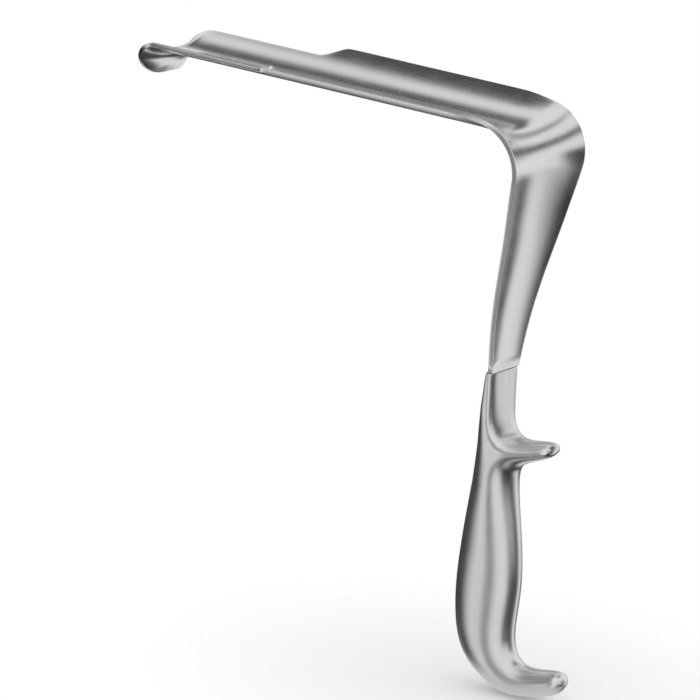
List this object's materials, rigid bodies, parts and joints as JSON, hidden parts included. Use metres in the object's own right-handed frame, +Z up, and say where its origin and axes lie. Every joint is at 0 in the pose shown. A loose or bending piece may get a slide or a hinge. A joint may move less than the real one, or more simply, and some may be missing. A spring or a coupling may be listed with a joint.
{
  "type": "pelvic retractor",
  "caption": "One-hand pelvic retractor: gutter-shaped steel blade with a stepped tip and a turned-down lip, on a tapering stem in a hollow handle with finger rest and butt hook.",
  "frame": {"origin": "the middle of the grip, on the handle's parting plane", "axes": "+Z up the handle towards the blade, +X towards the tips of the finger rest and the butt hook and away from the blade's lip, +Y across the blade"},
  "size_m": [0.2236, 0.06, 0.2406],
  "materials": {
    "blade_steel": "satin",
    "handle_steel": "satin",
    "braze_metal": "polished flush"
  },
  "bodies": {
    "root": {"blade": "blade_steel", "handle_shell_left": "handle_steel", "handle_shell_right": "handle_steel", "braze_ring": "braze_metal"}
  },
  "joints": []
}
